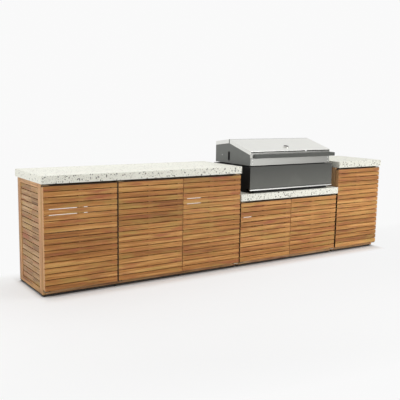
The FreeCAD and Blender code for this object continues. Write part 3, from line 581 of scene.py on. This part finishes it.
tall_doors = ("door_1", "door_2", "door_3", "door_6")
low_doors = ("door_4", "door_5")
for label, doors in (("tall", tall_doors), ("low", low_doors)):
    slats = [door + "_slats" for door in doors]
    stiles = [door + "_stiles" for door in doors]
    slat_teak(label + " door slats", "x", slat_rows(slats[0]), door_tones, door=slats[0]).on(*slats)
    plain_teak(label + " door stiles", "z", stile_tones, door=stiles[0]).on(*stiles)
middle_low, middle_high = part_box("middle_cabinet_frame")
tall_back_rows = slat_rows("door_1_slats", back_slat_height)
low_back_rows = slat_rows("door_4_slats", back_slat_height)
slat_teak("back slats", "x", tall_back_rows, door_tones, low_back_rows,
          (middle_low.x, middle_high.x)).on("cabinet_back_slats")
slat_teak("end slats", "y", slat_rows("left_cabinet_side_slats", margin=lining_margin), end_tones).on(
    "left_cabinet_side_slats", "right_cabinet_side_slats")
for side in ("left", "middle", "right"):
    frame_teak(side + " frame timber", side + "_cabinet_frame", stile_tones).on(side + "_cabinet_frame")
plain_teak("divider boards", "z", board_tones).on("left_cabinet_dividers")
plain_teak("shelf boards", "x", board_tones).on("cabinet_floors", "cabinet_shelves")


# Stone

stone_pale = (238, 238, 227)
stone_grey = (226, 225, 212)
# Painted light and shade on each slab: a level added to both stone colours, 0 to 255, lighter on the middle
# slab and darker on the right
slab_painted_light = (("left", 0), ("middle", 3), ("right", -8))
chip_sizes = (
    # waves a metre, radius in a cell, share of the cells that hold a chip
    (34.0, 0.26, 0.22),
    (60.0, 0.32, 0.32),
    (150.0, 0.34, 0.28),
)
chip_colours = ((0.0, srgb(22, 22, 24)), (0.50, srgb(62, 62, 62)), (0.70, srgb(118, 102, 84)),
                (0.85, srgb(122, 122, 119)), (1.0, srgb(170, 168, 160)))


def stone_chips(finish, colour, scale, radius, amount):
    """Adds chips of one size: some cells of a pattern hold a chip, in a colour of its own."""
    place = finish.stretched((scale, scale, scale))
    ragged = finish.node("ShaderNodeTexNoise", {}, {"Vector": place, "Scale": 1.7}, output="Color")
    cells = {"Vector": finish.vector("ADD", place, ragged), "Scale": 1.0, "Randomness": 0.9}
    distance = finish.node("ShaderNodeTexVoronoi", {}, cells, output="Distance")
    key = finish.node("ShaderNodeTexVoronoi", {}, cells, output="Color")
    held = finish.node("ShaderNodeSeparateColor", {}, {0: key}, output="Red")
    tint = finish.node("ShaderNodeSeparateColor", {}, {0: key}, output="Green")
    chip = (distance < radius) * (held < amount)
    # Painted glare: chips show less on the top face
    top_glare_fade = 1 - finish.facing("Z") * 0.45
    return chip, finish.blend(chip * top_glare_fade * 0.95, colour, finish.ramp(tint, *chip_colours))


def chip_stone(name, shade):
    """Honed pale stone with grey, brown and black chips of three sizes, and a rubbed edge."""
    finish = Finish("chip stone " + name, IOR=1.5)
    ground = finish.cloud(9, 4.0)
    # Both stone colours shift by the slab's painted light and shade level
    grey, pale = [srgb(*[level + shade for level in levels]) for levels in (stone_grey, stone_pale)]
    colour = finish.blend(ground, grey, pale)
    rough = 0.44 + ground * 0.12
    for scale, radius, amount in chip_sizes:
        chip, colour = stone_chips(finish, colour, scale, radius, amount)
        rough = rough - chip * 0.08
    low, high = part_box(name)
    worn = finish.edge(low, high, stone_worn) * (finish.cloud(30) * 1.6 - 0.4).clamp()
    finish.dye(finish.blend(worn * 0.4, colour, pale), rough - worn * 0.08)
    finish.relief(finish.cloud(160, 2.0), 0.08, 0.0006)
    finish.on(name)


for side, slab_light_level in slab_painted_light:
    chip_stone("worktop_" + side, slab_light_level)


# Metals, enamel, plastic and rubber

# Near black: real soot inside the hood, and the colour of painted shade round the spit slots, at the flap's
# top and in the burner ports
soot_and_shade_black = srgb(14, 13, 12)
hood_low, hood_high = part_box("hood_front_panel")
hood_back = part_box("hood_rear_cap")[1].y
hood_centre = ((hood_low.x + hood_high.x) / 2, (hood_low.y + hood_back) / 2, (hood_low.z + hood_high.z) / 2)


def brush_marks(finish, along, long_waves=5):
    """Fine lines along one axis."""
    waves = [long_waves if axis == along else brush_waves for axis in "xyz"]
    return finish.noise(finish.stretched(waves), 3.0, 0.65)


def brushed_steel(label, along, bright, dull, rough, *names, sooty=False):
    """Steel with fine brush marks along one axis, faint smears and bright rubbed edges."""
    for name in names:
        finish = Finish(label + " " + name, Metallic=1.0)
        marks = brush_marks(finish, along)
        cloud = finish.cloud(4, 3.0)
        smear = ((cloud - 0.55) * 4).clamp()
        low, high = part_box(name)
        worn = finish.edge(low, high, steel_worn)
        colour = finish.blend((marks * 0.8 + cloud * 0.4 - 0.1).clamp(), dull, bright)
        colour = finish.blend(worn * 0.5, colour, bright)
        rough_here = rough + marks * 0.14 + smear * 0.06 - worn * 0.05
        if sooty:
            soot = finish.inside(hood_centre) * (soot_cover + cloud * soot_patches)
            finish.dye(finish.blend(soot, colour, soot_and_shade_black), rough_here + soot * 0.4, 1 - soot)
        else:
            finish.dye(colour, rough_here)
        finish.relief(marks, 0.08, 0.0003)
        finish.on(name)


def slot_smoke_and_shade(finish):
    """1 at the upright spit slots in the hood's ends, fading a little way round them: smoke stain there
    that is also painted shade, widening the slots' dark.
    """
    ridge = (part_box("hood_top_sheet")[1].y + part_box("hood_rear_cap")[0].y) / 2
    across = finish.y - (ridge + spit_slot_from_ridge)
    bottom = hood_low.z + spit_slot_low
    beyond = (bottom - finish.z).most(finish.z - bottom - spit_slot_length).most(0.0)
    from_slot = (across * across + beyond * beyond).power(0.5) - spit_slot_radius
    return (1 - from_slot / slot_shade_reach).clamp()


def powder_coat(label, colour, worn_colour, rough, *names, shine=1.5, sooty=False, shade_upwards=0.0):
    """Painted steel with a fine orange-peel skin, dust and edges rubbed pale. Painted shade can darken it
    upwards, under the hood.
    """
    for name in names:
        finish = Finish(label + " " + name, IOR=shine)
        peel = finish.cloud(800, 2.0)
        dust = finish.cloud(5, 5.0, 0.6)
        rubbed = ((dust - 0.52) * 5).clamp()
        low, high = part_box(name)
        worn = finish.edge(low, high, paint_worn) * (finish.cloud(60) * 2 - 0.5).clamp()
        paint = finish.blend((rubbed * 0.30 + peel * 0.14 + worn * 0.6).clamp(), colour, worn_colour)
        if sooty:
            # Real soot inside the hood, and smoke stain with painted shade round the spit slots
            soot_and_slot_shade = finish.inside(hood_centre).most(slot_smoke_and_shade(finish))
            paint = finish.blend(soot_and_slot_shade * (soot_cover + dust * soot_patches), paint, soot_and_shade_black)
        # Painted shade, darker towards the top
        if shade_upwards:
            height = ((finish.z - low.z) / (high.z - low.z)).clamp()
            paint = finish.blend(height * shade_upwards, paint, soot_and_shade_black)
        finish.dye(paint, rough + dust * 0.15 - rubbed * 0.05)
        finish.relief(peel, 0.14, 0.0003)
        finish.on(name)


brushed_steel("hood stainless", "x", srgb(243, 243, 238), srgb(220, 220, 215), 0.30,
              "hood_top_sheet", "hood_rear_cap", sooty=True)
# The front band is a darker copy of the hood's stainless: painted shade
brushed_steel("band stainless", "x", srgb(154, 154, 150), srgb(132, 132, 128), 0.32,
              "hood_front_panel", sooty=True)
# The drip tray lip is a darker copy of the hood's stainless: painted shade
brushed_steel("lip stainless", "x", srgb(214, 214, 211), srgb(194, 194, 190), 0.28, "drip_tray_lip")
brushed_steel("bracket stainless", "y", srgb(224, 224, 221), srgb(196, 196, 192), 0.28,
              "hood_handle_brackets", "hood_gauge")
brushed_steel("fitting steel", "x", srgb(205, 205, 202), srgb(170, 170, 167), 0.34,
              "connector_bolts", "hood_hinge_brackets", "barbecue_gas_manifold")
brushed_steel("heated steel", "y", srgb(168, 158, 146), srgb(112, 102, 94), 0.40, "barbecue_flame_tamers")
brushed_steel("brass", "x", srgb(206, 172, 104), srgb(172, 136, 74), 0.32, "barbecue_gas_inlet")
powder_coat("graphite coat", srgb(87, 88, 82), srgb(109, 109, 103), 0.46,
            "barbecue_front_flap", shade_upwards=0.60)
powder_coat("handle coat", srgb(64, 66, 62), srgb(90, 91, 86), 0.50, "hood_handle_bar")
# Paler than the flap's grey paint, partly as painted light for the weaker lamp light at the hood's ends
powder_coat("hood end coat", srgb(114, 116, 113), srgb(136, 138, 135), 0.48, "hood_end_panels", sooty=True)
# Near black enamel, darkened further as painted shade for the barbecue's side in the left cabinet's shadow
powder_coat("dark enamel", srgb(16, 16, 16), srgb(34, 34, 33), 0.60,
            "barbecue_firebox", "barbecue_control_box", "barbecue_base_rails", "barbecue_rim",
            "barbecue_support_bars", "drip_tray_pan", shine=1.3)
powder_coat("cast iron", srgb(38, 37, 36), srgb(58, 54, 50), 0.62, "barbecue_cooking_plates")
powder_coat("knob plastic", srgb(34, 34, 35), srgb(48, 48, 49), 0.30,
            *["barbecue_knob_%d" % number for number in knob_numbers])
powder_coat("bearing plastic", srgb(56, 56, 57), srgb(72, 72, 72), 0.48,
            "door_catches", *["door_%d_fittings" % number for number in door_numbers])
powder_coat("foot rubber", srgb(32, 31, 30), srgb(58, 55, 50), 0.75, "floor_glides")


def pivot_steel():
    """Pivot brackets in a darker copy of one steel as painted shade, and a pale copy as painted light on
    the lower bracket left of each joint between cabinets.
    """
    finish = Finish("pivot steel", Metallic=1.0)
    marks = brush_marks(finish, "x")
    by_first, by_second = [(finish.x > joint - joint_reach) * (finish.x < joint)
                           for joint in (middle_low.x, middle_high.x)]
    # Painted light on these brackets; the others get the darker copy as painted shade
    bright = by_first.most(by_second) * (finish.z < rail_level + frame_thickness)
    shaded_bracket_steel = finish.blend(marks, srgb(136, 114, 86), srgb(172, 148, 116))
    lit_bracket_steel = finish.blend(marks, srgb(222, 204, 184), srgb(244, 230, 214))
    finish.dye(finish.blend(bright, shaded_bracket_steel, lit_bracket_steel), 0.40 + marks * 0.14)
    finish.relief(marks, 0.08, 0.0003)
    finish.on("door_pivot_brackets")


def burner_steel():
    """Heat-tinted burner tubes with a row of gas ports along each side, drawn as dark dots of painted
    shade.
    """
    finish = Finish("burner steel", Metallic=1.0)
    marks = brush_marks(finish, "y", 6)
    heat = finish.cloud(11, 3.0)
    steel = finish.ramp(heat, (0.30, srgb(150, 140, 128)), (0.48, srgb(126, 104, 84)),
                        (0.60, srgb(92, 84, 98)), (0.75, srgb(112, 106, 100)))
    low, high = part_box("barbecue_burners")
    along = (finish.y % port_pitch - port_pitch / 2) / port_radius
    level = (finish.z - (low.z + high.z) / 2 - port_rise) / port_radius
    port = (along * along + level * level) < 1.0
    # The gas ports are dark dots of painted shade, not holes
    finish.dye(finish.blend(port, steel, soot_and_shade_black), 0.36 + marks * 0.2)
    finish.relief(marks * 0.2 - port, 0.3, 0.001)
    finish.on("barbecue_burners")


pivot_steel()
burner_steel()


def painted(label, colour, dull, rough):
    """Enamel paint on small marks, a little chalky."""
    finish = Finish(label, IOR=1.5)
    chalk = finish.cloud(300, 3.0)
    finish.dye(finish.blend(chalk, dull, colour), rough + chalk * 0.2)
    finish.relief(chalk, 0.1, 0.0002)
    return finish


def turned_steel(label, bright, dull, rough):
    """Steel of screws and rivets, with scuffs."""
    finish = Finish(label, Metallic=1.0)
    scuff = finish.cloud(700, 3.0, 0.65)
    finish.dye(finish.blend(scuff, dull, bright), rough + scuff * 0.2)
    finish.relief(scuff, 0.1, 0.0002)
    return finish


screw_steel = turned_steel("screw steel", srgb(206, 206, 203), srgb(150, 150, 146), 0.30)
rivet_steel = turned_steel("rivet steel", srgb(232, 232, 230), srgb(190, 190, 187), 0.26)
mark_white = painted("white marks", srgb(232, 232, 228), srgb(206, 206, 200), 0.45)
needle_red = painted("needle red", srgb(186, 44, 34), srgb(150, 32, 26), 0.40)
dial_black = painted("dial black", srgb(30, 30, 32), srgb(20, 20, 22), 0.40)


# Small pieces that ride on the part

def piece(name, finish, body, makers):
    """A new mesh object, made by drawing functions, that rides on a body."""
    mesh = bpy.data.meshes.new(name)
    shape = bmesh.new()
    for maker, values in makers:
        maker(shape, *values)
    bmesh.ops.recalc_face_normals(shape, faces=shape.faces)
    shape.to_mesh(mesh)
    shape.free()
    made = bpy.data.objects.new(name, mesh)
    bpy.context.scene.collection.objects.link(made)
    mesh.materials.append(finish.material)
    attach(made, body)


def side_ways(outward):
    """Two directions square to a direction, the first as level as can be."""
    helper = Vector((0, 0, 1)) if abs(outward.z) < 0.9 else Vector((0, 1, 0))
    across = helper.cross(outward).normalized()
    return across, outward.cross(across)


def walls(shape, low, high):
    """Faces between two rings of as many points."""
    for step in range(len(low)):
        after = (step + 1) % len(low)
        shape.faces.new((low[step], low[after], high[after], high[step]))


def turned(shape, place, outward, rings, sides):
    """A round form: rings of (radius, lift) about a place, closed at both ends."""
    outward = Vector(outward).normalized()
    across, up = side_ways(outward)
    loops = []
    for radius, lift in rings:
        loop = []
        for step in range(sides):
            angle = 2 * math.pi * step / sides
            spoke = across * math.cos(angle) + up * math.sin(angle)
            loop.append(shape.verts.new(Vector(place) + spoke * radius + outward * lift))
        loops.append(loop)
    for first, second in zip(loops, loops[1:]):
        walls(shape, first, second)
    shape.faces.new(loops[-1])
    shape.faces.new(loops[0])


def raised_mark(shape, place, outward, along, size, taper):
    """A low bar with sloped sides: size is length, width and height, and taper narrows its far end."""
    length, width, height = size
    outward = Vector(outward).normalized()
    along = Vector(along).normalized()
    across = outward.cross(along)
    corners = [(-0.5, -0.5), (0.5, -0.5 * taper), (0.5, 0.5 * taper), (-0.5, 0.5)]
    rings = []
    for lift, shrink in ((0.0, 1.0), (height, 0.8)):
        ring = []
        for ahead, beside in corners:
            run = ahead * length - math.copysign(1 - shrink, ahead) * width / 2
            flat = along * run + across * (beside * width * shrink)
            ring.append(shape.verts.new(Vector(place) + flat + outward * lift))
        rings.append(ring)
    low, high = rings
    walls(shape, low, high)
    shape.faces.new(high)
    shape.faces.new(low)


screw_rings = ((screw_radius, 0.0), (screw_radius * 0.86, screw_height),
               (screw_radius * 0.42, screw_height), (screw_radius * 0.30, screw_height * 0.2))
rivet_rings = ((rivet_radius, 0.0), (rivet_radius * 0.92, rivet_height * 0.45),
               (rivet_radius * 0.66, rivet_height * 0.82), (rivet_radius * 0.30, rivet_height))


def screws(name, places, outward, body):
    piece(name, screw_steel, body,
          [(turned, (place, outward, screw_rings, screw_sides)) for place in places])


def rivets(name, places):
    """Rivets on the hood, from pairs of a place and the way that it looks."""
    piece(name, rivet_steel, "hood",
          [(turned, (place, outward, rivet_rings, rivet_sides)) for place, outward in places])


def slat_levels(name, rows):
    """The middle levels of the slats between the bottom and the top of a node."""
    count = round((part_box(name)[1].z - rows.bottom - rows.height) / rows.pitch) + 1
    return [rows.bottom + number * rows.pitch + rows.height / 2 for number in range(count)]


def door_screws(number):
    """Screws through a door's stiles into every slat, seen when the door stands open."""
    low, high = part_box("door_%d_stiles" % number)
    columns = (low.x + stile_screw_inset, (low.x + high.x) / 2, high.x - stile_screw_inset)
    slats = "door_%d_slats" % number
    levels = slat_levels(slats, slat_rows(slats))[1:-1]
    places = [(x, high.y, z) for x in columns for z in levels]
    screws("door_%d_screws" % number, places, backward, "door_%d" % number)


def dial_ray(up_slope, angle):
    """The way from the dial's centre at an angle from its top."""
    return Vector((1, 0, 0)) * math.sin(angle) + up_slope * math.cos(angle)


def gauge_face():
    """The hood gauge's dark dial, its ring of marks and its needle, in the recess of the case."""
    low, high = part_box("hood_gauge")
    outward = Vector((0, -math.sin(hood_slope), math.cos(hood_slope)))
    up_slope = Vector((0, math.cos(hood_slope), math.sin(hood_slope)))
    top = Vector(((low.x + high.x) / 2, low.y + gauge_radius * math.cos(hood_slope),
                  high.z - gauge_radius * math.sin(hood_slope)))
    floor = top - outward * (gauge_recess - mark_height)
    dish = ((dial_radius, 0.0), (dial_radius, dial_rim), (dial_radius * 0.94, dial_rim),
            (dial_radius * 0.88, dial_floor))
    piece("gauge_dial", dial_black, "hood", [(turned, (floor, outward, dish, dial_sides))])
    face = floor + outward * dial_floor
    marks = []
    for step in range(dial_marks):
        ray = dial_ray(up_slope, dial_sweep * (step / (dial_marks - 1) - 0.5))
        length = dial_mark_long if step % 3 == 0 else dial_mark_short
        place = face + ray * (dial_radius * 0.80 - length / 2)
        marks.append((raised_mark, (place, outward, ray, (length, dial_mark_width, mark_height), 1.0)))
    piece("gauge_marks", mark_white, "hood", marks)
    ray = dial_ray(up_slope, needle_angle)
    place = face + ray * needle_centre + outward * mark_height
    piece("gauge_needle", needle_red, "hood",
          [(raised_mark, (place, outward, ray, needle_size, needle_taper)),
           (turned, (face, outward, hub_rings, hub_sides))])


def knob_marks():
    """A white pointer on every knob, and a scale of growing marks on the panel round it."""
    panel_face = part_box("barbecue_front_flap")[0].y + panel_behind_flap
    scale = []
    for number in knob_numbers:
        low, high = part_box("barbecue_knob_%d" % number)
        centre = Vector(((low.x + high.x) / 2, low.y, (low.z + high.z) / 2))
        radius = (high.x - low.x) / 2
        place = centre + Vector((0, 0, radius * pointer_centre))
        size = (radius * pointer_length, pointer_width, mark_height)
        piece("knob_%d_pointer" % number, mark_white, "knob_%d" % number,
              [(raised_mark, (place, forward, upward, size, pointer_taper))])
        for step in range(scale_marks):
            angle = knob_sweep * step / (scale_marks - 1)
            ray = Vector((math.sin(angle), 0, math.cos(angle)))
            place = Vector((centre.x, panel_face, centre.z)) + ray * (radius + scale_gap)
            size = (scale_mark_length + scale_mark_growth * step, scale_mark_width, mark_height)
            scale.append((raised_mark, (place, forward, ray, size, 1.0)))
    piece("knob_scales", mark_white, "cabinets", scale)


def hood_rivets():
    """Two rivets at each end of the hood's front band, and one on each end panel."""
    columns = (hood_low.x + front_rivet_inset, hood_high.x - front_rivet_inset)
    rivets("hood_front_rivets", [((x, hood_low.y, hood_low.z + level), forward)
                                 for x in columns for level in front_rivet_levels])
    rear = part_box("hood_end_panels")[1].y - end_rivet_from_rear
    level = hood_low.z + end_rivet_height
    rivets("hood_end_rivets", [((x, rear, level), (way, 0, 0))
                               for x, way in ((hood_low.x, -1), (hood_high.x, 1))])


def back_screws():
    """Screws through the back slats into the rear stiles, dividers and batten."""
    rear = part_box("cabinet_back_slats")[1].y
    dividers_low, dividers_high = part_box("left_cabinet_dividers")
    inner_columns = {
        "left": [dividers_low.x + divider_screw_inset, dividers_high.x - divider_screw_inset],
        "middle": [(middle_low.x + middle_high.x) / 2],
        "right": [],
    }
    backs = (("left", "door_1_slats", tall_back_rows), ("middle", "door_4_slats", low_back_rows),
             ("right", "door_6_slats", tall_back_rows))
    inset = frame_thickness + frame_screw_inset
    for side, door, rows in backs:
        low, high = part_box(side + "_cabinet_frame")
        columns = [low.x + inset, high.x - inset] + inner_columns[side]
        levels = [slat_levels(door, rows)[row] for row in (0, -1)]
        places = [(x, rear, z) for x in columns for z in levels]
        screws(side + "_back_screws", places, backward, "cabinets")


for door_number in door_numbers:
    door_screws(door_number)
gauge_face()
knob_marks()
hood_rivets()
back_screws()


# Light, floor and camera

def softbox(name, place, aim, size, power, mirrored):
    """A round soft lamp that the camera doesn't see."""
    light = bpy.data.lights.new(name, "AREA")
    light.shape = "DISK"
    light.size = size
    light.energy = power
    made = bpy.data.objects.new(name, light)
    bpy.context.scene.collection.objects.link(made)
    made.location = place
    made.rotation_euler = (Vector(aim) - Vector(place)).to_track_quat("-Z", "Y").to_euler()
    made.visible_camera = False
    made.visible_glossy = mirrored


def studio():
    """An even white room: one level of light on surfaces, another for what the camera and metal see."""
    world = bpy.data.worlds.new("studio")
    bpy.context.scene.world = world
    world.use_nodes = True
    room = Tree(world.node_tree)
    background = world.node_tree.nodes["Background"]
    background.inputs["Color"].default_value = plain_grey(1.0)
    strength = sky_light + room.seen_directly() * (backdrop_white - sky_light)
    room.feed(background.inputs["Strength"], strength)
    for box in softboxes:
        softbox(*box)


def floor_shadow_clear(finish):
    """0 at the unit's footprint and 1 past the reach of its shadow."""
    low, high = cad_box
    beside = (abs(finish.x - (low.x + high.x) / 2) - (high.x - low.x) / 2).most(0.0) * end_sharpness
    before = (abs(finish.y - (low.y + high.y) / 2) - (high.y - low.y) / 2).most(0.0)
    return ((beside * beside + before * before).power(0.5) / shadow_reach).clamp()


def floor_finish():
    """Pale floor with a contact shadow painted from an occlusion node. What the camera sees of it glows as
    white as the backdrop.
    """
    finish = Finish("pale floor", Roughness=0.9)
    grain = finish.cloud(3, 3.0)
    # Painted contact shadow: the occlusion node darkens the floor near and under the unit
    open_sky = finish.node("ShaderNodeAmbientOcclusion", {"samples": 8}, {"Distance": contact_reach},
                           output="AO")
    pale = finish.blend(grain, floor_dull, floor_pale)
    finish.dye(finish.blend(open_sky.power(contact_depth), painted_contact_shadow, pale), 0.85 + grain * 0.1)
    far = finish.node("ShaderNodeVectorMath", {"operation": "LENGTH"}, {0: finish.stretched(floor_spread)},
                      output="Value")
    behind = ((finish.y - rear_fade_start) * rear_fade_rate).clamp()
    away = ((far - floor_fade_start) * floor_fade_rate).clamp().most(behind)
    white = finish.blend(away, plain_grey(floor_glow), plain_grey(backdrop_white))
    glow = finish.node("ShaderNodeEmission", {}, {"Color": white, "Strength": 1.0})
    faded = (shadow_fade + finish.x * shadow_fade_rightwards).clamp()
    share = floor_shadow_clear(finish) * away.most(faded) * finish.seen_directly()
    surface = Value(finish, finish.shader.outputs[0])
    mixed = finish.node("ShaderNodeMixShader", {}, {0: share, 1: surface, 2: glow})
    finish.feed(finish.tree.nodes["Material Output"].inputs["Surface"], mixed)
    return finish


def pale_floor():
    """A wide floor that keeps the shadow near the unit and fades into the backdrop."""
    mesh = bpy.data.meshes.new("floor")
    corners = [(x * floor_half, y * floor_half, 0) for x, y in ((-1, -1), (1, -1), (1, 1), (-1, 1))]
    mesh.from_pydata(corners, [], [(0, 1, 2, 3)])
    mesh.materials.append(floor_finish().material)
    floor = bpy.data.objects.new("floor", mesh)
    bpy.context.scene.collection.objects.link(floor)


def photo_camera():
    camera = bpy.data.cameras.new("camera")
    camera.lens = camera_lens
    camera.sensor_width = camera_sensor
    camera.clip_end = camera_reach
    made = bpy.data.objects.new("camera", camera)
    bpy.context.scene.collection.objects.link(made)
    turn = Matrix((camera_right, camera_up, [-part for part in camera_ahead])).transposed().to_4x4()
    made.matrix_world = Matrix.Translation(camera_place) @ turn
    bpy.context.scene.camera = made


studio()
pale_floor()
photo_camera()
bpy.context.scene.view_settings.view_transform = "Standard"
